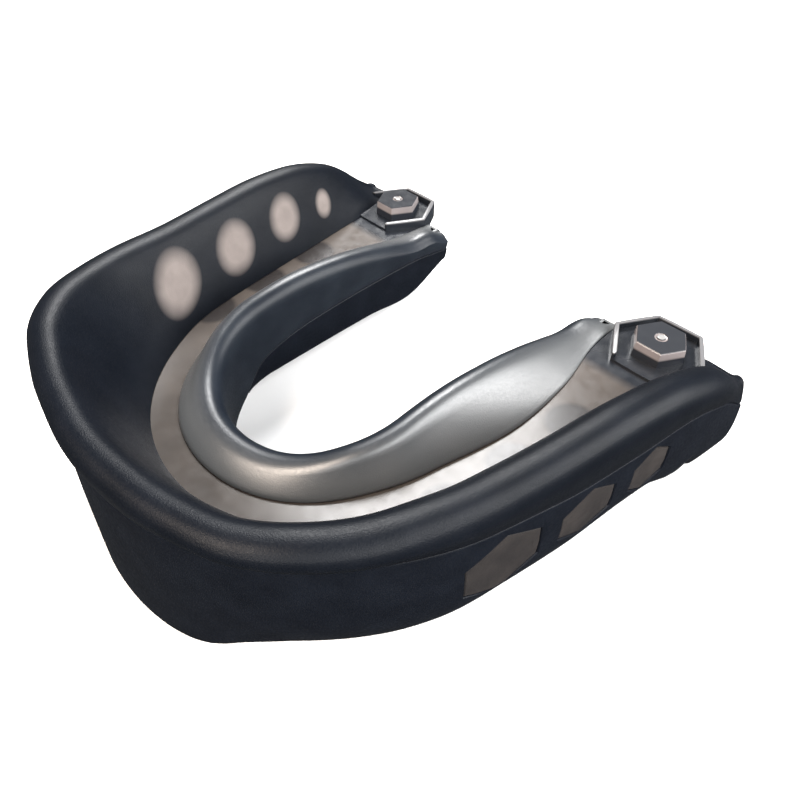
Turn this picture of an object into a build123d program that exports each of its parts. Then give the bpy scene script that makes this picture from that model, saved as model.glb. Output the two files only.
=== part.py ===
from build123d import *
import math
import os

# A layered adult mouthguard of the combat-sport kind, open arch, without its case.
# Millimetres.  +Z is up (towards the upper teeth), -Y is the front of the mouth,
# +X is the wearer's left.  Z = 0 is the plane that the guard rests on.
# Everything is drawn on two arches: the labial arch follows the crest of the outer
# rim, and the lingual arch follows the crest of the rim on the tongue side.

# ---- driving dimensions -------------------------------------------------------
ARCH_CENTRE_Y = -4.0      # both arches are struck from this point on the centre line
LABIAL_R = 25.2           # front arc of the outer crest
LABIAL_FLARE = 8.0        # degrees that each limb opens towards the back
LABIAL_END_Y = 28.2
LINGUAL_R = 12.4          # front arc of the tongue-side crest
LINGUAL_FLARE = 1.5
LINGUAL_END_Y = 27.0
LAST_STATION = 16         # sections along half of an arch, counted from 0 at the front

FRAME_WALL = 1.8          # thickness of the frame's outer wall
SKIRT_WALL = 1.8          # thickness of the frame's tongue-side skirt
FLOOR_Z = 9.8             # floor of the tooth channel, the top of the bite plate
PLATE_THICKNESS = 3.0
PLATE_UNDER_Z = FLOOR_Z - PLATE_THICKNESS

HEEL_START_Y = 18.5       # the frame is solid from here to the back of each limb
HEEL_END_Y = 28.6
REAR_Y = 31.4             # back of the rear tabs, as far from Y = 0 as the front lip is
TAB_R = 5.8               # hexagonal rear tab, to its corners
TAB_X = 21.8
TAB_Y = REAR_Y - TAB_R * math.cos(math.radians(30))
TAB_RIM_Z = 10.95
CUP_FLOOR_Z = 10.1
CUP_RIM = 0.55            # width of the thin wall round the back of the tab
STUD_R = 3.3              # the raised hexagon inside that wall, at its foot
STUD_TOP_R = 3.08
STUD_TOP_Z = 12.0
GATE_MARK_R = 0.75        # ring-shaped gate mark sunk into the top of the stud
GATE_MARK_WIDTH = 0.25
GATE_MARK_DEPTH = 0.15
ROLL_TURNS = (80, 27, -27, -75)    # corners round the rim's roll, degrees from its top
ROLL_SPREAD = 1.04        # the corners stand this much outside the roll's true circle

WINDOW_CENTRES = ((-6.9, 9.7), (2.9, 9.2), (11.2, 9.4))   # (y, z)
WINDOW_HALF_HEIGHTS = (4.0, 3.4, 3.2)
WINDOW_HALF_WIDTHS = (4.0, 3.3, 2.5)
PANE_THICKNESS = 1.1
PANE_INSET = 0.12         # the panes stand this far inside the frame's outer face

JAW_PAD_SPOTS = ((20.4, -6.4), (21.2, 1.8), (21.8, 10.4))
JAW_PAD_R = 3.3
JAW_PAD_HEIGHT = 2.6

# Heights and offsets along the arch, as (y of the crest, value) from front to back.
RIM_TOP = ((-29.2, 20.8), (-24, 21.1), (-21, 21.1), (-17, 20.5), (-13, 20.1), (-8.5, 19.6),
           (-4, 19.5), (0, 19.55), (6.5, 19.6), (12.5, 19.0), (16.5, 18.0), (20, 16.6),
           (22.5, 15.0), (24.5, 13.3), (26.2, 11.9), (28.2, 10.5))
RIM_OFFSET = ((-29.2, -1.0), (-27.5, -0.4), (-26, 0.2), (-24, 1.0), (-21, 1.2), (-17, 0.85),
              (-13, 0.4), (-8.5, 0.3), (-4, 0.55), (0, 0.75), (6.5, 0.9), (16.5, 1.05),
              (22.5, 0.9), (26.2, 0.65), (28.2, 0.5))
RIM_R = ((-29.2, 1.7), (-26, 1.8), (-22, 2.0), (-13, 2.2), (16, 2.2), (22, 1.9), (28.2, 0.8))
SEAM = ((-29.2, 15.5), (-28.2, 16.5), (-26.5, 17.3), (-24.8, 17.5), (-21, 16.8), (-15, 16.0),
        (-8, 14.9), (-3.2, 14.2), (1.5, 13.5), (9, 13.1), (17, 13.0), (24, 10.6), (28.2, 7.6))
SEAM_OFFSET = ((-29.2, 0.2), (-27.5, 0.7), (-23, 1.2), (-15, 1.5), (-10, 1.8), (-3, 2.25), (2, 2.45),
               (20, 2.5), (28.2, 2.0))
LOW_OFFSET = ((-29.2, 1.8), (-24, 1.7), (-10, 2.4), (0, 2.6), (20, 2.7), (28.2, 2.3))
FOOT_OFFSET = ((-29.2, 2.2), (-26.5, 2.0), (-22, 1.0), (-10, 1.4), (20, 1.6), (28.2, 1.6))
UNDERSIDE = ((-29.2, -0.4), (-28.2, -0.2), (-27.0, 0.6), (-24.5, 3.0), (-15, 3.6), (-8, 3.4),
             (2, 2.5), (9, 3.4), (14, 3.2), (17.5, 1.6), (19.3, 0.9), (21.2, 1.9),
             (23.0, 0.3), (24.0, 0.0), (28.2, 0.0))
FLOOR_EDGE = ((-29.2, 6.2), (-17, 6.0), (-5, 4.9), (10, 4.6), (28.2, 4.4))
LINGUAL_CREST = ((-16.4, 12.3), (-9.4, 14.0), (-3, 15.0), (2, 15.2), (8, 14.6), (13, 13.6),
                 (17, 12.5), (21, 11.4), (24.5, 11.2), (27.0, 9.9))
LINGUAL_SEAM = ((-16.4, 3.2), (-10.0, 3.6), (-5.5, 6.6), (2, 8.2), (20, 8.4), (27, 7.4))
LINGUAL_FOOT = ((-16.4, 4.2), (-8.3, 3.7), (5, 6.0), (14, 5.5), (22, 3.6), (27, 3.2))
SKIRT_BOTTOM = ((-10.0, 3.2), (12, 3.0), (20, 2.4), (27.0, 5.2))


def law(knots, y):
    """Smooth value at y through the given (y, value) knots, flat beyond both ends."""
    if y <= knots[0][0]:
        return knots[0][1]
    if y >= knots[-1][0]:
        return knots[-1][1]
    i = max(k for k in range(len(knots) - 1) if knots[k][0] <= y)
    (y0, v0), (y1, v1) = knots[i], knots[i + 1]
    before = knots[max(i - 1, 0)]
    after = knots[min(i + 2, len(knots) - 1)]
    slope0 = (v1 - before[1]) / (y1 - before[0]) if i else 0.0
    slope1 = (after[1] - v0) / (after[0] - y0)
    h, t = y1 - y0, (y - y0) / (y1 - y0)
    return ((2 * t**3 - 3 * t**2 + 1) * v0 + (t**3 - 2 * t**2 + t) * h * slope0
            + (3 * t**2 - 2 * t**3) * v1 + (t**3 - t**2) * h * slope1)


class Arch:
    """Half of an arch in plan: a front arc, then a straight limb tangent to it."""

    def __init__(self, radius, flare, end_y):
        self.radius = radius
        self.flare = math.radians(flare)
        self.join_y = ARCH_CENTRE_Y - radius * math.sin(self.flare)
        self.run = (end_y - self.join_y) / math.cos(self.flare)

    def at(self, f, offset=0.0):
        """Plan point at fraction f (0 front, 0.5 end of the arc, 1 back), offset outwards."""
        angle = -math.pi / 2 + min(f, 0.5) * 2 * (math.pi / 2 - self.flare)
        out_x, out_y = math.cos(angle), math.sin(angle)
        along = max(f - 0.5, 0.0) * 2 * self.run
        reach = self.radius + offset
        return (reach * out_x - along * out_y, ARCH_CENTRE_Y + reach * out_y + along * out_x)

    def fraction(self, y):
        """The fraction at which the crest, with no offset, reaches y."""
        if y >= self.join_y:
            return 0.5 + 0.5 * (y - self.join_y) / (self.run * math.cos(self.flare))
        angle = math.asin((y - ARCH_CENTRE_Y) / self.radius)
        return 0.5 * (angle + math.pi / 2) / (math.pi / 2 - self.flare)


LABIAL = Arch(LABIAL_R, LABIAL_FLARE, LABIAL_END_Y)
LINGUAL = Arch(LINGUAL_R, LINGUAL_FLARE, LINGUAL_END_Y)


def section(corners):
    """Closed wire through (plan point, height) corners that share one vertical plane."""
    return Wire.make_polygon([Vector(x, y, z) for (x, y), z in corners], close=True)


def half_sweep(corners_at, first=0, last=LAST_STATION):
    """Loft half of an arch through the sections that corners_at(f) gives at its stations."""
    steps = [k / LAST_STATION for k in range(first, last + 1)]
    return Solid.make_loft([section(corners_at(f)) for f in steps], ruled=True)


def overlap(shape, tool):
    """The one solid that two shapes share."""
    return shape.intersect(tool).solids().sort_by(SortBy.VOLUME)[-1]


def mirrored(shape):
    return shape.mirror(Plane.YZ)


def both_sides(shape):
    return shape.fuse(mirrored(shape)).clean()


def hexagon_prism(radius, top_radius, bottom_z, top_z, x, y):
    """Upright hexagonal frustum with corners towards +X and -X."""
    rings = []
    for r, z in ((radius, bottom_z), (top_radius, top_z)):
        ring = [(x + r * math.cos(math.radians(60 * k)),
                 y + r * math.sin(math.radians(60 * k)), z) for k in range(6)]
        rings.append(Wire.make_polygon([Vector(*p) for p in ring], close=True))
    return Solid.make_loft(rings, ruled=True)


# ---- outer frame --------------------------------------------------------------
def outer_face(f):
    """Offsets and heights of the frame's outer face, from the seam down to the foot."""
    crest_y = LABIAL.at(f)[1]
    top, foot = law(SEAM, crest_y), law(UNDERSIDE, crest_y)
    reach, low = law(SEAM_OFFSET, crest_y), law(LOW_OFFSET, crest_y)
    rise = top - foot
    return ((reach, top), (0.5 * (reach + low) + 0.2, foot + 0.6 * rise),
            (low, foot + 0.25 * rise), (law(FOOT_OFFSET, crest_y), foot))


def outer_wall_corners(f):
    outside = outer_face(f)
    inside = [(o - FRAME_WALL, z) for o, z in reversed(outside)]
    return [(LABIAL.at(f, o), z) for o, z in [*outside, *inside]]


def skirt_corners(f):
    crest_y = LINGUAL.at(f)[1]
    top, foot = law(LINGUAL_SEAM, crest_y), law(SKIRT_BOTTOM, crest_y)
    outline = ((-0.9, top), (-0.5, foot), (-0.5 + SKIRT_WALL, foot), (-0.9 + SKIRT_WALL, top))
    return [(LINGUAL.at(f, o), z) for o, z in outline]


def window_prism(index):
    """Hexagonal prism along X through the side wall, with a corner up and a corner down."""
    y, z = WINDOW_CENTRES[index]
    high, wide = WINDOW_HALF_HEIGHTS[index], WINDOW_HALF_WIDTHS[index]
    ring = ((y, z + high), (y + wide, z + 0.5 * high), (y + wide, z - 0.5 * high),
            (y, z - high), (y - wide, z - 0.5 * high), (y - wide, z + 0.5 * high))
    face = Face(Wire.make_polygon([Vector(20.0, a, b) for a, b in ring], close=True))
    return extrude(face, amount=16.0, dir=(1, 0, 0))


def heel():
    """Solid block that joins the outer wall to the skirt under the rear tab."""
    labial_start = LABIAL.fraction(HEEL_START_Y)
    outline = [LINGUAL.at(LINGUAL.fraction(HEEL_START_Y), 0.2), LINGUAL.at(1.0, 0.2),
               (16.0, 28.0), (18.0, HEEL_END_Y), (27.0, HEEL_END_Y),
               LABIAL.at(1.0, 0.8), LABIAL.at(labial_start, 0.8)]
    plan = Face(Wire.make_polygon([Vector(x, y, 0) for x, y in outline], close=True))
    block = extrude(plan, amount=PLATE_UNDER_Z, dir=(0, 0, 1))
    top_z = PLATE_UNDER_Z
    tongue_side = ((17, 2.4), (20, 2.4), (22, 2.8), (27.4, 5.6), (27.4, top_z), (17, top_z))
    cheek_side = ((17, 1.4), (20.5, 1.6), (22.5, -1.6), (27.6, -1.6), (30, top_z), (17, top_z))
    rings = [Wire.make_polygon([Vector(x, y, z) for y, z in side], close=True)
             for x, side in ((12, tongue_side), (33, cheek_side))]
    return overlap(block, Solid.make_loft(rings, ruled=True))


def outer_frame():
    wall = half_sweep(outer_wall_corners)
    skirt = half_sweep(skirt_corners, first=6)
    below_rest = Box(100, 100, 10, align=(Align.CENTER, Align.CENTER, Align.MAX))
    half = wall.fuse(skirt, heel()).cut(below_rest)
    for index in range(len(WINDOW_CENTRES)):
        half = half.cut(window_prism(index))
    return both_sides(half)


# ---- gel ----------------------------------------------------------------------
def labial_gel_corners(f):
    crest_y = LABIAL.at(f)[1]
    seam, reach = law(SEAM, crest_y), law(SEAM_OFFSET, crest_y)
    radius, middle = law(RIM_R, crest_y), law(RIM_OFFSET, crest_y)
    centre_z = law(RIM_TOP, crest_y) - radius
    roll = [(middle + ROLL_SPREAD * radius * math.sin(math.radians(turn)),
             centre_z + ROLL_SPREAD * radius * math.cos(math.radians(turn)))
            for turn in ROLL_TURNS]
    outline = ((reach, seam), *roll, (-law(FLOOR_EDGE, crest_y), FLOOR_Z),
               (reach - FRAME_WALL, FLOOR_Z), (reach - FRAME_WALL, seam))
    return [(LABIAL.at(f, o), z) for o, z in outline]


def lingual_gel_corners(f):
    crest_y = LINGUAL.at(f)[1]
    crest, seam = law(LINGUAL_CREST, crest_y), law(LINGUAL_SEAM, crest_y)
    foot = law(LINGUAL_FOOT, crest_y)
    outline = ((foot, FLOOR_Z), (1.6, crest - 0.9), (0.3, crest - 0.5), (-0.7, crest - 1.4),
               (-1.1, 0.5 * (crest + seam)), (-0.9, seam), (0.9, seam), (0.9, FLOOR_Z))
    return [(LINGUAL.at(f, o), z) for o, z in outline]


def labial_gel_liner():
    return both_sides(half_sweep(labial_gel_corners).cut(tab()))


# ---- clear core ---------------------------------------------------------------
def tab():
    """Hexagonal tab with a low wall round its back, open towards the tooth channel."""
    block = hexagon_prism(TAB_R, TAB_R, PLATE_UNDER_Z + 1.4, TAB_RIM_Z, TAB_X, TAB_Y)
    r = TAB_R - CUP_RIM / math.cos(math.radians(30))
    inside = [(r * math.cos(math.radians(a)), r * math.sin(math.radians(a)))
              for a in (60, 120, 180, 240)]
    inside += [(-r / 2, -TAB_R), (TAB_R + 1, -TAB_R), (TAB_R + 1, 0), (r, 0)]
    plan = Face(Wire.make_polygon([Vector(TAB_X + x, TAB_Y + y, CUP_FLOOR_Z)
                                   for x, y in inside], close=True))
    return block.cut(extrude(plan, amount=3.0, dir=(0, 0, 1)))


def plate_corners(f):
    outer = LABIAL.at(f, law(SEAM_OFFSET, LABIAL.at(f)[1]) - FRAME_WALL)
    inner = LINGUAL.at(f, 1.25)
    return [(outer, FLOOR_Z), (outer, PLATE_UNDER_Z), (inner, PLATE_UNDER_Z), (inner, FLOOR_Z)]


def bite_plate():
    return both_sides(half_sweep(plate_corners).fuse(tab()))


def rear_stud():
    stud = hexagon_prism(STUD_R, STUD_TOP_R, CUP_FLOOR_Z, STUD_TOP_Z, TAB_X, TAB_Y)
    outer, inner = (Cylinder(r, 2 * GATE_MARK_DEPTH)
                    for r in (GATE_MARK_R, GATE_MARK_R - GATE_MARK_WIDTH))
    return stud.cut((outer - inner).moved(Location((TAB_X, TAB_Y, STUD_TOP_Z))))


def pane_corners(f):
    outside = [(o - PANE_INSET, z) for o, z in outer_face(f)]
    inside = [(o - PANE_THICKNESS, z) for o, z in reversed(outside)]
    return [(LABIAL.at(f, o), z) for o, z in [*outside, *inside]]


def window_panes():
    """The clear core showing in the side windows, just inside the frame's outer face."""
    sheet = half_sweep(pane_corners, first=6)
    return [overlap(sheet, window_prism(k)) for k in range(len(WINDOW_CENTRES))]


def jaw_pads():
    return [hexagon_prism(JAW_PAD_R - 0.4, JAW_PAD_R, PLATE_UNDER_Z - JAW_PAD_HEIGHT,
                          PLATE_UNDER_Z, x, y) for x, y in JAW_PAD_SPOTS]


def save(name, shape):
    export_step(shape, f"parts/{name}.step")


os.makedirs("parts", exist_ok=True)
left_stud, left_panes, left_pads = rear_stud(), window_panes(), jaw_pads()
save("outer_frame", outer_frame())
save("labial_gel_liner", labial_gel_liner())
save("lingual_gel_rim", both_sides(half_sweep(lingual_gel_corners)))
save("bite_plate", bite_plate())
for side, turn in (("left", lambda shape: shape), ("right", mirrored)):
    save(f"rear_stud_{side}", turn(left_stud))
    save(f"window_panes_{side}", Compound([turn(pane) for pane in left_panes]))
    save(f"jaw_pads_{side}", Compound([turn(pad) for pad in left_pads]))
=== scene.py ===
import math

import bmesh
import bpy
from mathutils import Matrix, Vector


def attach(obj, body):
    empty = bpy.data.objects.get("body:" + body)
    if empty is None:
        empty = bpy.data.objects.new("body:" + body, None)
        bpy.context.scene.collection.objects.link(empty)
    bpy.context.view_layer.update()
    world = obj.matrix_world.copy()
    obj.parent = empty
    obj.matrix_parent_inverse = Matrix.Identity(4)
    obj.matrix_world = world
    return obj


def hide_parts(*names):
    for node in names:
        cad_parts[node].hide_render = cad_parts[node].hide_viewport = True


# A layered mouthguard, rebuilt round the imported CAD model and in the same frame.  Its pieces
# are dense, smooth meshes: sweeps along the two arches that the CAD model is drawn on, and
# stacks of hexagons.  Dimensions are in millimetres, and MM turns them into metres.

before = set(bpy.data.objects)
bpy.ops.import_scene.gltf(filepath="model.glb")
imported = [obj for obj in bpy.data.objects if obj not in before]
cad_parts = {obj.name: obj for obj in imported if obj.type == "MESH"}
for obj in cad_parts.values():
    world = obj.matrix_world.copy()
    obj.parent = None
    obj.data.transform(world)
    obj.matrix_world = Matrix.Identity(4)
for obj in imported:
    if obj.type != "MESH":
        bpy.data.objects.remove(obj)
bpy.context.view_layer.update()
MM = 0.001

# ---- the two arches and the heights along them ------------------------------------
ARCH_CENTRE_Y = -4.0
LABIAL_R, LABIAL_FLARE, LABIAL_END_Y = 25.2, 8.0, 28.2        # flare in degrees
LINGUAL_R, LINGUAL_FLARE, LINGUAL_END_Y = 12.4, 1.5, 27.0
REAR_Y = 31.4
FRAME_WALL, SKIRT_WALL = 1.8, 1.8
FLOOR_Z, PLATE_UNDER_Z = 9.8, 6.8    # top and underside of the bite plate
SKIRT_START = 6 / 16                 # fraction of the lingual arch at which the skirt begins
HEEL_START_Y = 18.5

# How finely the meshes are cut: sections along half of an arch, and steps in a rounded
# corner, in a rounded end, along a window's edge and along a hexagon's edge
RINGS = 88
CORNER_STEPS, END_STEPS, WINDOW_STEPS, HEXAGON_STEPS = 5, 5, 6, 8
CORNER_LIMIT = 0.47                  # most of an edge that the rounding of one corner may use
SMOOTH_ANGLE, SMALL_PART_ANGLE = 40, 28    # edges sharper than this, in degrees, stay sharp

# Laws along an arch: (y of the arch, value) knots.  Heights and offsets outwards from the arch.
RIM_TOP = ((-29.2, 20.8), (-24, 21.1), (-21, 21.1), (-17, 20.5), (-13, 20.1), (-8.5, 19.6),
           (-4, 19.5), (0, 19.55), (6.5, 19.6), (12.5, 19.0), (16.5, 18.0), (20, 16.6),
           (22.5, 15.0), (24.5, 13.3), (26.2, 11.9), (28.2, 10.5))
RIM_OFFSET = ((-29.2, -1.0), (-27.5, -0.4), (-26, 0.2), (-24, 1.0), (-21, 1.2), (-17, 0.85),
              (-13, 0.4), (-8.5, 0.3), (-4, 0.55), (0, 0.75), (6.5, 0.9), (16.5, 1.05),
              (22.5, 0.9), (26.2, 0.65), (28.2, 0.5))
RIM_R = ((-29.2, 1.7), (-26, 1.8), (-22, 2.0), (-13, 2.2), (16, 2.2), (22, 1.9), (28.2, 0.8))
SEAM = ((-29.2, 15.5), (-28.2, 16.5), (-26.5, 17.3), (-24.8, 17.5), (-21, 16.8), (-15, 16.0),
        (-8, 14.9), (-3.2, 14.2), (1.5, 13.5), (9, 13.1), (17, 13.0), (24, 10.6), (28.2, 7.6))
SEAM_OFFSET = ((-29.2, 0.2), (-27.5, 0.7), (-23, 1.2), (-15, 1.5), (-10, 1.8), (-3, 2.25),
               (2, 2.45), (20, 2.5), (28.2, 2.0))
LOW_OFFSET = ((-29.2, 1.8), (-24, 1.7), (-10, 2.4), (0, 2.6), (20, 2.7), (28.2, 2.3))
FOOT_OFFSET = ((-29.2, 2.2), (-26.5, 2.0), (-22, 1.0), (-10, 1.4), (20, 1.6), (28.2, 1.6))
UNDERSIDE = ((-29.2, 0.0), (-28.2, 0.0), (-27.0, 0.6), (-24.5, 3.0), (-15, 3.6), (-8, 3.4),
             (2, 2.5), (9, 3.4), (14, 3.2), (17.5, 1.6), (19.3, 0.9), (21.2, 1.9),
             (23.0, 0.3), (24.0, 0.0), (28.2, 0.0))
FLOOR_EDGE = ((-29.2, 6.2), (-17, 6.0), (-5, 4.9), (10, 4.6), (28.2, 4.4))
LINGUAL_CREST = ((-16.4, 12.3), (-9.4, 14.0), (-3, 15.0), (2, 15.2), (8, 14.6), (13, 13.6),
                 (17, 12.5), (21, 11.4), (24.5, 11.2), (27.0, 9.9))
LINGUAL_SEAM = ((-16.4, 3.2), (-10.0, 3.6), (-5.5, 6.6), (2, 8.2), (20, 8.4), (27, 7.4))
LINGUAL_FOOT = ((-16.4, 4.2), (-8.3, 3.7), (5, 6.0), (14, 5.5), (22, 3.6), (27, 3.2))
SKIRT_BOTTOM = ((-10.0, 3.2), (12, 3.0), (20, 2.4), (27.0, 5.2))

# Side windows, front to back, with (y, z) centres
WINDOW_CENTRES = ((-6.9, 9.7), (2.9, 9.2), (11.2, 9.4))
WINDOW_HALF_HEIGHTS = (4.0, 3.4, 3.2)
WINDOW_HALF_WIDTHS = (4.0, 3.3, 2.5)
PANE_INSET, PANE_THICKNESS = 0.12, 1.1


def law(knots, y):
    """Smooth value at y through the given (y, value) knots, flat beyond both ends."""
    if y <= knots[0][0]:
        return knots[0][1]
    if y >= knots[-1][0]:
        return knots[-1][1]
    i = max(k for k in range(len(knots) - 1) if knots[k][0] <= y)
    (y0, v0), (y1, v1) = knots[i], knots[i + 1]
    before = knots[max(i - 1, 0)]
    after = knots[min(i + 2, len(knots) - 1)]
    slope0 = (v1 - before[1]) / (y1 - before[0]) if i else 0.0
    slope1 = (after[1] - v0) / (after[0] - y0)
    h, t = y1 - y0, (y - y0) / (y1 - y0)
    return ((2 * t**3 - 3 * t**2 + 1) * v0 + (t**3 - 2 * t**2 + t) * h * slope0
            + (3 * t**2 - 2 * t**3) * v1 + (t**3 - t**2) * h * slope1)


class Arch:
    """Half of an arch in plan: a front arc, then a straight limb tangent to it."""

    def __init__(self, radius, flare, end_y):
        self.radius = radius
        self.flare = math.radians(flare)
        self.join_y = ARCH_CENTRE_Y - radius * math.sin(self.flare)
        self.run = (end_y - self.join_y) / math.cos(self.flare)

    def at(self, f, offset=0.0):
        """Plan point at fraction f (0 front, 0.5 end of the arc, 1 back), offset outwards."""
        angle = -math.pi / 2 + min(f, 0.5) * 2 * (math.pi / 2 - self.flare)
        out_x, out_y = math.cos(angle), math.sin(angle)
        along = max(f - 0.5, 0.0) * 2 * self.run
        reach = self.radius + offset
        return (reach * out_x - along * out_y, ARCH_CENTRE_Y + reach * out_y + along * out_x)


LABIAL = Arch(LABIAL_R, LABIAL_FLARE, LABIAL_END_Y)
LINGUAL = Arch(LINGUAL_R, LINGUAL_FLARE, LINGUAL_END_Y)


# ---- mesh building ----------------------------------------------------------------
def softened(outline):
    """Round each (across, up, reach) corner of a closed outline, from reach before it on."""
    points = []
    for i, (a, b, reach) in enumerate(outline):
        corner = Vector((a, b))
        before = Vector(outline[i - 1][:2]) - corner
        after = Vector(outline[(i + 1) % len(outline)][:2]) - corner
        start = corner + before * min(reach / before.length, CORNER_LIMIT)
        end = corner + after * min(reach / after.length, CORNER_LIMIT)
        for k in range(CORNER_STEPS + 1):
            t = k / CORNER_STEPS
            points.append(start * (1 - t) ** 2 + corner * 2 * t * (1 - t) + end * t * t)
    return points


def mesh_object(name, vertices, faces, smooth_angle=SMOOTH_ANGLE):
    """Object in the scene from a mesh drawn in millimetres."""
    mesh = bpy.data.meshes.new(name)
    mesh.from_pydata([tuple(c * MM for c in v) for v in vertices], [], faces)
    mesh.validate()
    obj = bpy.data.objects.new(name, mesh)
    bpy.context.scene.collection.objects.link(obj)
    tidy_normals(obj, smooth_angle)
    return obj


def tidy_normals(obj, smooth_angle=SMOOTH_ANGLE):
    """Faces outwards, shaded smooth except across edges sharper than the angle."""
    work = bmesh.new()
    work.from_mesh(obj.data)
    bmesh.ops.recalc_face_normals(work, faces=work.faces)
    work.to_mesh(obj.data)
    work.free()
    obj.data.shade_smooth()
    obj.data.set_sharp_from_angle(angle=math.radians(smooth_angle))


def tube(name, rings):
    """Closed mesh through rings of equally many points, with a flat cap at each end."""
    count = len(rings[0])
    vertices = [p for ring in rings for p in ring]
    faces = [(r * count + k, r * count + (k + 1) % count,
              (r + 1) * count + (k + 1) % count, (r + 1) * count + k)
             for r in range(len(rings) - 1) for k in range(count)]
    last = (len(rings) - 1) * count
    faces.append(tuple(range(count)))
    faces.append(tuple(range(last + count - 1, last - 1, -1)))
    return mesh_object(name, vertices, faces)


def rounded_end(ring, forward, depth, shrink):
    """Further rings that close a sweep softly: each is smaller and further forward."""
    centre = sum(ring, Vector()) / len(ring)
    rings = []
    for k in range(1, END_STEPS + 1):
        turn = math.pi / 2 * k / END_STEPS
        scale = 1 - shrink * (1 - math.cos(turn))
        rings.append([centre + (p - centre) * scale + forward * depth * math.sin(turn)
                      for p in ring])
    return rings


def limb_rings(arch, outline_at, first, end_depth, end_shrink):
    """Sections from fraction first to the back of the +X limb, with a rounded end."""
    rings = []
    for k in range(RINGS + 1):
        f = first + (1 - first) * k / RINGS
        rings.append([Vector((*arch.at(f, o), z)) for o, z in softened(outline_at(f))])
    back = Vector((math.sin(arch.flare), math.cos(arch.flare), 0))
    return rings + rounded_end(rings[-1], back, end_depth, end_shrink)


def flipped(ring):
    """The ring mirrored onto the other limb."""
    return [Vector((-p.x, p.y, p.z)) for p in ring]


def arch_sweep(name, arch, outline_at, end_depth, end_shrink):
    """The whole arch, from the back of the -X limb round the front to the +X limb."""
    half = limb_rings(arch, outline_at, 0.0, end_depth, end_shrink)
    return tube(name, [flipped(ring) for ring in reversed(half[1:])] + half)


def limb_sweep(name, arch, outline_at, first, end_depth, end_shrink, side):
    """One limb of the arch, from fraction first to its back; side is 1 or -1 as X is."""
    half = limb_rings(arch, outline_at, first, end_depth, end_shrink)
    return tube(name, half if side > 0 else [flipped(ring) for ring in half])


def combine(obj, tools, operation):
    """Boolean of obj with the tools, applied; the tools are deleted."""
    for tool in tools:
        cut = obj.modifiers.new("cut", "BOOLEAN")
        cut.operation, cut.solver, cut.object = operation, "EXACT", tool
        shape = bpy.data.meshes.new_from_object(
            obj.evaluated_get(bpy.context.evaluated_depsgraph_get()))
        obj.modifiers.clear()
        obj.data = shape
        bpy.data.objects.remove(tool)
    tidy_normals(obj)
    return obj


# ---- outer frame --------------------------------------------------------------------
def outer_face(f):
    """Offsets and heights of the frame's outer face, from the seam down to the foot."""
    crest_y = LABIAL.at(f)[1]
    top, foot = law(SEAM, crest_y), law(UNDERSIDE, crest_y)
    reach, low = law(SEAM_OFFSET, crest_y), law(LOW_OFFSET, crest_y)
    rise = top - foot
    return ((reach, top), (0.5 * (reach + low) + 0.2, foot + 0.6 * rise),
            (low, foot + 0.25 * rise), (law(FOOT_OFFSET, crest_y), foot))


def wall_outline(f):
    """Section of the frame's wall: its outer face, and the same face moved inwards."""
    softness = (0.3, 2.6, 2.2, 0.7)
    outside = [(o, z, s) for (o, z), s in zip(outer_face(f), softness)]
    inside = [(o - FRAME_WALL, z, s) for o, z, s in reversed(outside)]
    return [*outside, *inside]


def skirt_outline(f):
    """Section of the thin wall that hangs below the lingual gel."""
    crest_y = LINGUAL.at(f)[1]
    top, foot = law(LINGUAL_SEAM, crest_y), law(SKIRT_BOTTOM, crest_y)
    top_in, foot_in = -0.9, -0.5
    return [(top_in, top, 0.25), (foot_in, foot, 0.6), (foot_in + SKIRT_WALL, foot, 0.6),
            (top_in + SKIRT_WALL, top, 0.25)]


def wall_x(y, z, inset):
    """X of the frame's outer face at (y, z) on the +X limb, inset mm inside it."""
    low, high = 0.25, 1.0    # fractions of the arch, halved until they meet
    for _ in range(30):
        f = 0.5 * (low + high)
        face = outer_face(f)
        offset = next((a + (b - a) * (z0 - z) / (z0 - z1)
                       for (a, z0), (b, z1) in zip(face, face[1:]) if z0 >= z >= z1),
                      face[0][0] if z > face[0][1] else face[-1][0])
        x, at_y = LABIAL.at(f, offset - inset)
        low, high = (f, high) if at_y < y else (low, f)
    return x


def window_ring(index, depth, grow, side):
    """Ring of a side window's hexagon, depth mm inside the outer face and grown by grow."""
    y, z = WINDOW_CENTRES[index]
    high, wide = WINDOW_HALF_HEIGHTS[index] + grow, WINDOW_HALF_WIDTHS[index] + grow
    shoulder = 0.5 * WINDOW_HALF_HEIGHTS[index] + 0.5 * grow
    corners = [(y, z + high), (y + wide, z + shoulder), (y + wide, z - shoulder),
               (y, z - high), (y - wide, z - shoulder), (y - wide, z + shoulder)]
    ring = []
    for (y0, z0), (y1, z1) in zip(corners, corners[1:] + corners[:1]):
        for k in range(WINDOW_STEPS):
            t = k / WINDOW_STEPS
            here = (y0 + (y1 - y0) * t, z0 + (z1 - z0) * t)
            ring.append(Vector((side * wall_x(*here, depth), *here)))
    return ring


def window_cutter(index, side):
    """Hexagonal cutter that leaves a small chamfer round the mouth of the window."""
    chamfer, proud, through = 0.12, 1.0, 4.0
    rings = [window_ring(index, depth, grow, side) for depth, grow in
             ((-proud, chamfer + proud), (chamfer, 0.0), (through, 0.0))]
    return tube("window_cutter", rings)


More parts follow.
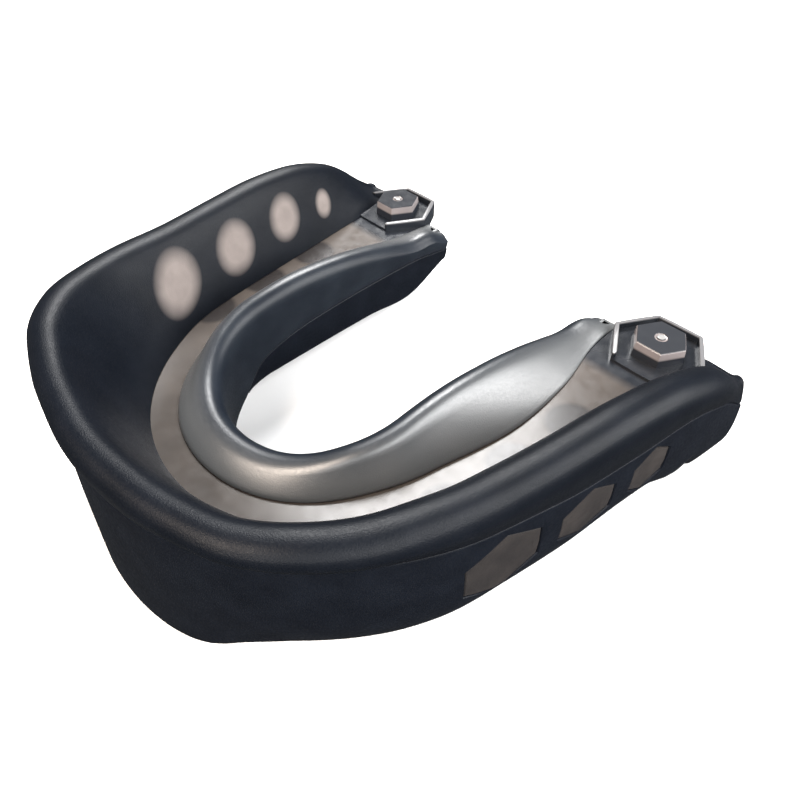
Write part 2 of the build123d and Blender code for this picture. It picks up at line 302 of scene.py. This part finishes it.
# Underside of the heel: (y, height at the skirt, height at the outer wall)
HEEL_SECTIONS = ((HEEL_START_Y, 2.4, 1.5), (20.5, 2.5, 1.6), (21.4, 2.8, 0.9), (22.4, 3.1, 0.15),
                 (24.0, 3.8, 0.0), (26.0, 4.8, 0.0), (27.4, 5.4, 0.0), (28.0, 5.8, 0.5),
                 (28.4, 6.1, 1.6))
HEEL_INNER_X, HEEL_OUTER_OFFSET = 12.9, 0.6
HEEL_INNER_TURN_Y, HEEL_OUTER_TURN_Y = 26.5, 27.2    # where its two sides start to close in
LIMB_SLOPE = 0.14                                    # sideways run of a limb per mm of y


def heel(side):
    """Solid block between the outer wall and the skirt, under the rear tab."""
    inner_step, inner_run, outer_closing = 2.2, 2.1, 3.2
    rings = []
    for y, inner_z, outer_z in HEEL_SECTIONS:
        inner_x = HEEL_INNER_X + inner_step * max(0.0, (y - HEEL_INNER_TURN_Y) / inner_run)
        outer_x = (LABIAL.at(1.0, HEEL_OUTER_OFFSET)[0] - LIMB_SLOPE * (LABIAL_END_Y - y)
                   - outer_closing * max(0.0, y - HEEL_OUTER_TURN_Y))
        outline = [(inner_x, PLATE_UNDER_Z, 0.3), (inner_x, inner_z, 0.5),
                   (0.5 * (inner_x + outer_x), 0.5 * (inner_z + outer_z), 1.0),
                   (outer_x - 2.0, outer_z, 1.0), (outer_x, outer_z, 0.5),
                   (outer_x, PLATE_UNDER_Z, 0.3)]
        rings.append([Vector((side * x, y, z)) for x, z in softened(outline)])
    return tube("heel", rings)


def build_outer_frame():
    """The wall with its windows cut through, and the skirt and heel of each side."""
    wall = arch_sweep("outer_frame_shell", LABIAL, wall_outline, end_depth=0.9, end_shrink=0.22)
    for side in (1, -1):
        skirt = limb_sweep("skirt", LINGUAL, skirt_outline, SKIRT_START, end_depth=0.6,
                           end_shrink=0.2, side=side)
        combine(wall, [skirt, heel(side)], "UNION")
        cutters = [window_cutter(k, side) for k in range(len(WINDOW_CENTRES))]
        combine(wall, cutters, "DIFFERENCE")
    return wall


# ---- gel ----------------------------------------------------------------------------
ROLL_TURNS = (75, 25, -25, -72)    # degrees from straight up of the rim roll's corners
ROLL_SPREAD = math.cos(math.radians(25))


def labial_gel_outline(f):
    """Section of the outer gel: seam, roll over the rim, hollow side of the channel, root."""
    crest_y = LABIAL.at(f)[1]
    seam, reach = law(SEAM, crest_y), law(SEAM_OFFSET, crest_y)
    edge, radius = law(FLOOR_EDGE, crest_y), law(RIM_R, crest_y)
    middle, centre_z = law(RIM_OFFSET, crest_y), law(RIM_TOP, crest_y) - radius
    corner_r = radius / ROLL_SPREAD
    roll = [(middle + corner_r * math.sin(math.radians(turn)),
             centre_z + corner_r * math.cos(math.radians(turn)), radius)
            for turn in ROLL_TURNS]
    hollow = (0.5 * (roll[-1][0] - edge) - 0.5, FLOOR_Z + 0.4 * (roll[-1][1] - FLOOR_Z), 2.4)
    return [(reach, seam, 0.3), *roll, hollow, (-edge, FLOOR_Z, 0.15),
            (reach - FRAME_WALL, FLOOR_Z, 0.1), (reach - FRAME_WALL, seam, 0.1)]


def lingual_gel_outline(f):
    """Section of the tongue-side roll, from its foot in the channel over the crest."""
    crest_y = LINGUAL.at(f)[1]
    crest, seam = law(LINGUAL_CREST, crest_y), law(LINGUAL_SEAM, crest_y)
    foot = law(LINGUAL_FOOT, crest_y)
    return [(foot, FLOOR_Z, 0.8), (0.55 * foot + 0.3, FLOOR_Z + 0.5 * (crest - FLOOR_Z), 1.6),
            (1.4, crest - 0.5, 1.6), (0.0, crest - 0.35, 1.6), (-1.1, crest - 1.4, 1.6),
            (-1.2, 0.5 * (crest + seam), 2.2), (-0.9, seam, 0.3), (0.9, seam, 0.1),
            (0.9, FLOOR_Z, 0.1)]


# ---- clear core ---------------------------------------------------------------------
TAB_R, STUD_R, STUD_TOP_R = 5.8, 3.3, 3.08
TAB_X, TAB_Y = 21.8, REAR_Y - TAB_R * math.cos(math.radians(30))
TAB_FOOT_Z, TAB_RIM_Z, CUP_FLOOR_Z, STUD_TOP_Z = 8.2, 10.95, 10.1, 12.0
CUP_RIM = 0.55            # thickness of the low wall round the tab
PLATE_INNER_OFFSET = 1.25
PLATE_OUTER_END = 0.97    # the plate's outer corner stops inside the gel's rounded end


def plate_ring(f):
    """Section of the plate, from the labial arch to the lingual arch at one fraction."""
    outer = Vector(LABIAL.at(min(f, PLATE_OUTER_END),
                             law(SEAM_OFFSET, LABIAL.at(f)[1]) - FRAME_WALL))
    inner = Vector(LINGUAL.at(f, PLATE_INNER_OFFSET))
    across = 24
    ring = [(outer.lerp(inner, k / across), FLOOR_Z) for k in range(across + 1)]
    ring += [(outer.lerp(inner, k / across), PLATE_UNDER_Z) for k in range(across, -1, -1)]
    return [Vector((*p, z)) for p, z in ring]


def hexagon_ring(radius, z, side, corner):
    """Level hexagon about the tab's axis; corner from 0, sharp, to 1, a circle."""
    count = 6 * HEXAGON_STEPS
    apothem = radius * math.cos(math.pi / 6)
    ring = []
    for k in range(count):
        angle = 2 * math.pi * k / count
        to_flat = (angle % (math.pi / 3)) - math.pi / 6
        flat = apothem / math.cos(to_flat)
        r = flat + (apothem - flat) * corner
        ring.append(Vector((side * (TAB_X + r * math.cos(angle)), TAB_Y + r * math.sin(angle), z)))
    return ring


def tab(side):
    """Hexagonal tab with a low wall round its back, open towards the tooth channel."""
    soft = 0.2
    profile = ((TAB_R - soft, TAB_FOOT_Z), (TAB_R, TAB_FOOT_Z + soft), (TAB_R, TAB_RIM_Z - soft),
               (TAB_R - 0.06, TAB_RIM_Z - 0.06), (TAB_R - soft, TAB_RIM_Z))
    block = tube("tab", [hexagon_ring(r, z, side, 0.12) for r, z in profile])
    r = TAB_R - CUP_RIM / math.cos(math.radians(30))
    inside = [(r * math.cos(math.radians(a)), r * math.sin(math.radians(a)))
              for a in (60, 120, 180, 240)]
    inside += [(-r / 2, -TAB_R), (TAB_R + 1, -TAB_R), (TAB_R + 1, 0), (r, 0)]
    rings = [[Vector((side * (TAB_X + x), TAB_Y + y, z)) for x, y in inside]
             for z in (CUP_FLOOR_Z, TAB_RIM_Z + 1)]
    cutter = tube("tab_cutter", rings)
    return combine(block, [cutter], "DIFFERENCE")


def build_bite_plate():
    """The channel floor of the whole arch, with a tab at each back end."""
    half = [plate_ring(k / RINGS) for k in range(RINGS + 1)]
    plate = tube("bite_plate_core", [flipped(ring) for ring in reversed(half[1:])] + half)
    return combine(plate, [tab(1), tab(-1)], "UNION")


def stud(side):
    """Raised hexagon on the tab, with the ring of its gate mark sunk in the top."""
    profile = ((STUD_R, CUP_FLOOR_Z - 0.02, 0.06), (STUD_TOP_R + 0.02, STUD_TOP_Z - 0.12, 0.06),
               (STUD_TOP_R - 0.1, STUD_TOP_Z, 0.06),
               (1.6, STUD_TOP_Z, 0.5), (0.9, STUD_TOP_Z, 1.0), (0.82, STUD_TOP_Z - 0.1, 1.0),
               (0.62, STUD_TOP_Z - 0.14, 1.0), (0.5, STUD_TOP_Z + 0.05, 1.0),
               (0.22, STUD_TOP_Z + 0.09, 1.0))
    rings = [hexagon_ring(r, z, side, corner) for r, z, corner in profile]
    return tube("stud", rings)


def window_pane(index, side):
    """Hexagonal pane that follows the curve of the outer wall."""
    rings = [window_ring(index, depth, grow, side) for depth, grow in
             ((PANE_INSET + PANE_THICKNESS, 0.0), (PANE_INSET + 0.15, 0.0),
              (PANE_INSET, -0.15), (PANE_INSET - 0.02, -0.9))]
    return tube("pane", rings)


# ---- jaw pads -----------------------------------------------------------------------
JAW_PAD_SPOTS = ((20.4, -6.4), (21.2, 1.8), (21.8, 10.4))
JAW_PAD_R, JAW_PAD_HEIGHT = 3.3, 2.6


def jaw_pad(spot, side):
    """Hexagonal pad under the plate, tapered and softened towards the lower teeth."""
    top, bottom = PLATE_UNDER_Z, PLATE_UNDER_Z - JAW_PAD_HEIGHT
    profile = ((JAW_PAD_R, top), (JAW_PAD_R - 0.3, bottom + 0.5),
               (JAW_PAD_R - 0.45, bottom + 0.15), (JAW_PAD_R - 0.8, bottom))
    rings = []
    for r, z in profile:
        ring = hexagon_ring(r, z, side, 0.15)
        shift = Vector((side * (spot[0] - TAB_X), spot[1] - TAB_Y, 0))
        rings.append([p + shift for p in ring])
    return tube("jaw_pad", rings)


def joined(name, parts):
    """Several closed meshes as one named piece."""
    vertices, faces = [], []
    for part in parts:
        start = len(vertices)
        vertices += [v.co / MM for v in part.data.vertices]
        faces += [tuple(start + i for i in face.vertices) for face in part.data.polygons]
        bpy.data.objects.remove(part)
    return mesh_object(name, vertices, faces, SMALL_PART_ANGLE)


# ---- materials ----------------------------------------------------------------------
NOISE_LOW, NOISE_HIGH = 0.3, 0.7    # the part of a noise's range that its lumps fill


class Finish:
    """A Principled material with the few nodes that all finishes here use."""

    def __init__(self, name):
        self.material = bpy.data.materials.new(name)
        self.material.use_nodes = True
        self.nodes = self.material.node_tree.nodes
        self.links = self.material.node_tree.links
        self.shader = self.nodes["Principled BSDF"]
        self.place = self.nodes.new("ShaderNodeTexCoord").outputs["Object"]

    def set(self, **sockets):
        """Give sockets of the shader a constant; an underscore stands for a space."""
        for name, value in sockets.items():
            self.shader.inputs[name.replace("_", " ")].default_value = value

    def noise(self, grain, detail=2.0):
        """Noise whose lumps are about grain mm across."""
        node = self.nodes.new("ShaderNodeTexNoise")
        node.inputs["Scale"].default_value = 1 / (grain * MM)
        node.inputs["Detail"].default_value = detail
        self.links.new(self.place, node.inputs["Vector"])
        return node.outputs["Fac"]

    def ramp(self, value, *stops):
        """Colour by value, through (position, colour) stops."""
        node = self.nodes.new("ShaderNodeValToRGB")
        elements = node.color_ramp.elements
        while len(elements) < len(stops):
            elements.new(1.0)
        for element, (position, colour) in zip(elements, stops):
            element.position = position
            element.color = (*colour, 1.0)
        self.links.new(value, node.inputs["Fac"])
        return node.outputs["Color"]

    def span(self, value, low, high, start=0.0, end=1.0):
        """Map value from low..high to start..end, clamped."""
        node = self.nodes.new("ShaderNodeMapRange")
        for name, number in (("From Min", low), ("From Max", high), ("To Min", start),
                             ("To Max", end)):
            node.inputs[name].default_value = number
        self.links.new(value, node.inputs["Value"])
        return node.outputs["Result"]

    def calc(self, first, second, operation="ADD"):
        """A math node of two values, each an output or a number."""
        node = self.nodes.new("ShaderNodeMath")
        node.operation = operation
        for socket, value in zip(node.inputs, (first, second)):
            if isinstance(value, float):
                socket.default_value = value
            else:
                self.links.new(value, socket)
        return node.outputs["Value"]

    def squares(self, first, second):
        """The sum of two outputs' squares."""
        return self.calc(self.calc(first, first, "MULTIPLY"),
                         self.calc(second, second, "MULTIPLY"))

    def distance(self, first, second):
        """Length of the vector that two outputs make."""
        return self.calc(self.squares(first, second), 0.5, "POWER")

    def blend(self, mask, first, second):
        """First colour where the mask is 0, second where it is 1."""
        node = self.nodes.new("ShaderNodeMix")
        node.data_type = "RGBA"
        # Inputs 6 and 7 and output 2 are the Mix node's A, B and Result for colours
        self.links.new(mask, node.inputs["Factor"])
        for socket, value in ((node.inputs[6], first), (node.inputs[7], second)):
            if isinstance(value, tuple):
                socket.default_value = (*value, 1.0)
            else:
                self.links.new(value, socket)
        return node.outputs[2]

    def bump(self, height, strength, depth):
        """Relief depth mm high, on top of any relief the finish has already."""
        node = self.nodes.new("ShaderNodeBump")
        node.inputs["Strength"].default_value = strength
        node.inputs["Distance"].default_value = depth * MM
        self.links.new(height, node.inputs["Height"])
        if self.shader.inputs["Normal"].is_linked:
            self.links.new(self.shader.inputs["Normal"].links[0].from_socket,
                           node.inputs["Normal"])
        self.links.new(node.outputs["Normal"], self.shader.inputs["Normal"])

    def colour(self, socket):
        self.links.new(socket, self.shader.inputs["Base Color"])

    def mottle(self, grain, dark, light, detail=2.0):
        """Colour that drifts between two shades, in lumps about grain mm across."""
        return self.ramp(self.noise(grain, detail), (NOISE_LOW, dark), (NOISE_HIGH, light))

    def roughness(self, grain, low, high):
        """Roughness that drifts from low to high, in lumps about grain mm across."""
        rough = self.span(self.noise(grain), NOISE_LOW, NOISE_HIGH, low, high)
        self.links.new(rough, self.shader.inputs["Roughness"])

    def axis(self, name):
        """The X, Y or Z of the point that is shaded, in metres."""
        node = self.nodes.new("ShaderNodeSeparateXYZ")
        self.links.new(self.place, node.inputs["Vector"])
        return node.outputs[name]


def frame_rubber():
    finish = Finish("frame_rubber")
    finish.set(Specular_IOR_Level=0.12)
    finish.colour(finish.mottle(3.0, (0.0022, 0.0032, 0.0058), (0.0036, 0.0050, 0.0084)))
    finish.roughness(0.3, 0.38, 0.55)
    finish.bump(finish.noise(0.16, 3.0), 0.25, 0.05)
    finish.bump(finish.noise(5.0, 1.0), 0.12, 0.3)
    return finish.material


# Painted glow of light through the side windows: (y, z, half height, half width), how far each
# leans with height, and the ramp across its edge.  They show only on the channel side of the rim's
# crest.
PAINTED_WINDOW_GLOWS = ((-9.5, 14.8, 3.4, 3.3), (-0.3, 14.7, 3.0, 2.95), (8.3, 14.9, 2.7, 2.6),
                (15.4, 13.9, 1.7, 1.5))
PAINTED_GLOW_LEAN = 0.15
PAINTED_GLOW_EDGE = (0.3, 1.15)
PAINTED_GLOW_INNER_X, PAINTED_GLOW_OUTER_X = 25.3, 26.2


def dark_gel():
    """Near-black gel, with painted glow where light comes through the side windows and at a spot
    behind them.
    """
    finish = Finish("dark_gel")
    finish.set(Specular_IOR_Level=0.13)
    base = finish.mottle(4.0, (0.0018, 0.0028, 0.0050), (0.0030, 0.0042, 0.0070))
    # Painted glow: this pale colour stands for light coming through the side windows
    painted_glow = finish.mottle(2.0, (0.145, 0.124, 0.115), (0.175, 0.150, 0.139))
    x, y, z = (finish.axis(name) for name in "XYZ")
    mask = None
    for centre_y, centre_z, high, wide in PAINTED_WINDOW_GLOWS:
        up = finish.calc(z, -centre_z * MM)
        lean = finish.calc(up, -PAINTED_GLOW_LEAN, "MULTIPLY")
        along = finish.calc(finish.calc(y, lean), -centre_y * MM)
        away = finish.squares(finish.calc(along, 1 / (wide * MM), "MULTIPLY"),
                              finish.calc(up, 1 / (high * MM), "MULTIPLY"))
        oval = finish.span(away, *PAINTED_GLOW_EDGE, 1.0, 0.0)
        mask = oval if mask is None else finish.calc(mask, oval, "MAXIMUM")
    out = finish.calc(finish.calc(x, 0.0, "ABSOLUTE"), finish.calc(y, -LIMB_SLOPE, "MULTIPLY"))
    inner_side = finish.span(out, PAINTED_GLOW_INNER_X * MM, PAINTED_GLOW_OUTER_X * MM, 1.0, 0.0)
    mask = finish.calc(mask, inner_side, "MULTIPLY")
    finish.colour(finish.blend(mask, base, painted_glow))
    finish.roughness(0.22, 0.36, 0.48)
    finish.bump(finish.noise(0.12, 3.0), 0.55, 0.05)
    finish.bump(finish.noise(4.0, 1.0), 0.15, 0.4)
    return finish.material


# Offsets outwards from the lingual arch over which the gloss and the paler, painted sheen come in
GLOSS_WIDTH = 1.6
PAINTED_SHEEN_BAND = (0.4, 2.6)
CHANNEL_PAINTED_SHEEN = (0.062, 0.066, 0.069)


def smoke_gel():
    """Gel with a glossy channel side, painted paler as a sheen, and a duller, darker tongue side.
    """
    finish = Finish("smoke_gel")
    x, y = finish.axis("X"), finish.axis("Y")
    beyond = finish.calc(finish.calc(y, -ARCH_CENTRE_Y * MM), 0.0, "MINIMUM")
    reach = finish.distance(x, beyond)
    glossy = finish.span(reach, LINGUAL_R * MM, (LINGUAL_R + GLOSS_WIDTH) * MM, 0.2, 1.0)
    finish.links.new(glossy, finish.shader.inputs["Specular IOR Level"])
    channel = finish.span(reach, *((LINGUAL_R + offset) * MM for offset in PAINTED_SHEEN_BAND))
    dark = finish.mottle(4.0, (0.006, 0.008, 0.012), (0.010, 0.013, 0.018))
    # Painted sheen: the channel side is painted paler to stand for light on the glossy gel
    finish.colour(finish.blend(channel, dark, CHANNEL_PAINTED_SHEEN))
    finish.roughness(0.25, 0.30, 0.42)
    finish.bump(finish.noise(0.12, 3.0), 0.3, 0.04)
    return finish.material


def clear_core(name, light, dark, roughness):
    """Smoke-clear moulded plastic with faint flow clouds."""
    finish = Finish(name)
    finish.set(IOR=1.49, Specular_IOR_Level=0.3)
    finish.colour(finish.mottle(5.0, dark, light, 3.0))
    finish.roughness(1.2, roughness, roughness + 0.08)
    return finish


# Painted shade over the pads and heel, which show through the clear core and block light from below
PAINTED_PAD_SHADE, PAINTED_HEEL_SHADE = (0.018, 0.016, 0.016), (0.011, 0.013, 0.017)
# The tab edge colour on the next line is a painted highlight
TAB_EDGE_PAINTED_HIGHLIGHT, GATE_MARK_SHADE = (0.11, 0.11, 0.115), (0.2, 0.2, 0.2)
# Painted shade on the stud's top and foot, where the dark heel shows through the clear stud
STUD_TOP_PAINTED_SHADE, STUD_FOOT_PAINTED_SHADE = (0.022, 0.024, 0.028), (0.015, 0.017, 0.022)


def plate_core():
    """Core with painted shade where the jaw pads and frame's heel show through, and painted
    highlights on tab edges.
    """
    finish = clear_core("clear_core", (0.062, 0.053, 0.047), (0.044, 0.038, 0.034), 0.18)
    clouds = finish.shader.inputs["Base Color"].links[0].from_socket
    y, z = finish.axis("Y"), finish.axis("Z")
    # Painted shade over the heel and each jaw pad, where they show through and block the light
    over_heel = finish.span(y, HEEL_START_Y * MM, (HEEL_START_Y + 1.5) * MM)
    away_x = finish.calc(finish.axis("X"), 0.0, "ABSOLUTE")
    for pad_x, pad_y in JAW_PAD_SPOTS:
        reach = finish.distance(finish.calc(away_x, -pad_x * MM), finish.calc(y, -pad_y * MM))
        over_pad = finish.span(reach, 0.75 * JAW_PAD_R * MM, 0.95 * JAW_PAD_R * MM, 0.95, 0.0)
        clouds = finish.blend(over_pad, clouds, PAINTED_PAD_SHADE)
    tinted = finish.blend(over_heel, clouds, PAINTED_HEEL_SHADE)
    # Painted highlight along the tabs' top edges
    rim = finish.span(z, (TAB_RIM_Z - 0.2) * MM, (TAB_RIM_Z - 0.1) * MM)
    finish.colour(finish.blend(rim, tinted, TAB_EDGE_PAINTED_HIGHLIGHT))
    return finish.material


def stud_core():
    """The stud: sides painted light, top and foot painted shade where the heel shows through; pale
    gate mark.
    """
    # Painted light: these pale colours stand for light coming through the stud's sides
    finish = clear_core("clear_stud", (0.22, 0.195, 0.195), (0.16, 0.145, 0.145), 0.12)
    painted_lit_sides = finish.shader.inputs["Base Color"].links[0].from_socket
    z = finish.axis("Z")
    top = finish.span(z, (STUD_TOP_Z - 0.12) * MM, (STUD_TOP_Z - 0.02) * MM)
    mark = finish.span(z, (STUD_TOP_Z + 0.01) * MM, (STUD_TOP_Z + 0.04) * MM)
    clear = finish.blend(top, painted_lit_sides, STUD_TOP_PAINTED_SHADE)
    marked = finish.blend(mark, clear, GATE_MARK_SHADE)
    # Painted shade at the stud's foot
    foot = finish.span(z, (STUD_TOP_Z - 1.05) * MM, (STUD_TOP_Z - 0.8) * MM, 1.0, 0.0)
    finish.colour(finish.blend(foot, marked, STUD_FOOT_PAINTED_SHADE))
    return finish.material


def pad_rubber():
    finish = Finish("pad_rubber")
    finish.set(Specular_IOR_Level=0.2)
    finish.colour(finish.mottle(2.0, (0.006, 0.008, 0.012), (0.012, 0.015, 0.021)))
    finish.roughness(0.3, 0.5, 0.65)
    finish.bump(finish.noise(0.2, 3.0), 0.25, 0.05)
    return finish.material


# ---- pieces -------------------------------------------------------------------------
def place(piece, material, slot, *nodes):
    """Give a finished piece its material and body, and hide the CAD nodes it stands for; slot is
    not used.
    """
    piece.data.materials.clear()
    piece.data.materials.append(material)
    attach(piece, "root")
    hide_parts(*nodes)


def make_pieces():
    gel, smoke, pad = dark_gel(), smoke_gel(), pad_rubber()
    pane = clear_core("window_core", (0.028, 0.0245, 0.023), (0.016, 0.0145, 0.0145), 0.3)
    pane.set(Specular_IOR_Level=0.08)
    core, boss = plate_core(), stud_core()
    place(build_outer_frame(), frame_rubber(), "frame_rubber", "outer_frame")
    place(arch_sweep("labial_gel", LABIAL, labial_gel_outline, end_depth=0.9, end_shrink=0.32),
          gel, "dark_gel", "labial_gel_liner")
    place(arch_sweep("lingual_gel", LINGUAL, lingual_gel_outline, end_depth=0.5, end_shrink=0.22),
          smoke, "smoke_gel", "lingual_gel_rim")
    place(build_bite_plate(), core, "clear_core", "bite_plate")
    for name, side in (("left", 1), ("right", -1)):
        panes = [window_pane(k, side) for k in range(len(WINDOW_CENTRES))]
        place(joined(f"panes_{name}", panes), pane.material, "window_core", f"window_panes_{name}")
        place(joined(f"stud_{name}", [stud(side)]), boss, "clear_stud", f"rear_stud_{name}")
        pads = [jaw_pad(spot, side) for spot in JAW_PAD_SPOTS]
        place(joined(f"pads_{name}", pads), pad, "pad_rubber", f"jaw_pads_{name}")


# ---- stage --------------------------------------------------------------------------
FLOOR_HALF = 3000


def make_floor():
    corners = [(x * FLOOR_HALF, y * FLOOR_HALF, 0) for x, y in ((-1, -1), (1, -1), (1, 1), (-1, 1))]
    floor = mesh_object("floor", corners, [(0, 1, 2, 3)])
    finish = Finish("floor")
    finish.set(Base_Color=(0.9, 0.9, 0.9, 1.0), Roughness=0.9, Specular_IOR_Level=0.1)
    floor.data.materials.append(finish.material)
    floor.visible_glossy = False    # as in the cut-out photo, the rubber mirrors no white table


# Name, azimuth and elevation in degrees, distance and size in metres, watts, colour
WHITE = (1, 1, 1)
LIGHTS = (("key_right", 37, 30, 0.5, 0.42, 5.0, WHITE),
          ("right_front", -8, 30, 0.5, 0.26, 2.0, WHITE),
          ("front_right", -56, 32, 0.5, 0.2, 1.2, WHITE),
          ("rear_left", 135, 50, 0.6, 0.3, 8.0, WHITE),
          ("warm_front", -96, 47, 0.5, 0.3, 4.2, (1.0, 0.86, 0.74)))
LIGHT_TARGET = (0, 0, 0.01)
SKY_COLOUR, SKY_STRENGTH = (0.95, 0.97, 1.0, 1.0), 0.12


def area_light(name, azimuth, elevation, distance, size, power, colour):
    """Soft round light that faces the guard; azimuth 0 is +X and 90 is +Y."""
    a, e = math.radians(azimuth), math.radians(elevation)
    towards = Vector((math.cos(a) * math.cos(e), math.sin(a) * math.cos(e), math.sin(e)))
    light = bpy.data.lights.new(name, "AREA")
    light.shape, light.size, light.energy, light.color = "DISK", size, power, colour
    obj = bpy.data.objects.new(name, light)
    obj.location = Vector(LIGHT_TARGET) + towards * distance
    obj.rotation_euler = towards.to_track_quat("Z", "Y").to_euler()
    bpy.context.scene.collection.objects.link(obj)


def make_lights():
    world = bpy.data.worlds.new("studio")
    world.use_nodes = True
    sky = world.node_tree.nodes["Background"]
    sky.inputs["Color"].default_value = SKY_COLOUR
    sky.inputs["Strength"].default_value = SKY_STRENGTH
    bpy.context.scene.world = world
    for light in LIGHTS:
        area_light(*light)


# ---- camera -------------------------------------------------------------------------
CAMERA_PLACE = Vector((0.04106, -0.03137, 0.05749))    # metres; the angles are in degrees
CAMERA_AZIMUTH, CAMERA_DOWN, CAMERA_ROLL = 47.383, 46.062, -0.496
CAMERA_LENS = 27.9


def make_camera():
    a, e, roll = (math.radians(v) for v in (CAMERA_AZIMUTH, CAMERA_DOWN, CAMERA_ROLL))
    forward = Vector((-math.sin(a) * math.cos(e), math.cos(a) * math.cos(e), -math.sin(e)))
    right = forward.cross(Vector((0, 0, 1))).normalized()
    up = right.cross(forward)
    right, up = (right * math.cos(roll) + up * math.sin(roll),
                 up * math.cos(roll) - right * math.sin(roll))
    camera = bpy.data.objects.new("camera", bpy.data.cameras.new("camera"))
    camera.data.lens = CAMERA_LENS
    camera.data.clip_start = 0.001
    camera.matrix_world = Matrix.Translation(CAMERA_PLACE) @ Matrix(
        (right, up, -forward)).transposed().to_4x4()
    bpy.context.scene.collection.objects.link(camera)
    bpy.context.scene.camera = camera


make_pieces()
make_floor()
make_lights()
make_camera()
bpy.context.scene.view_settings.view_transform = "Standard"
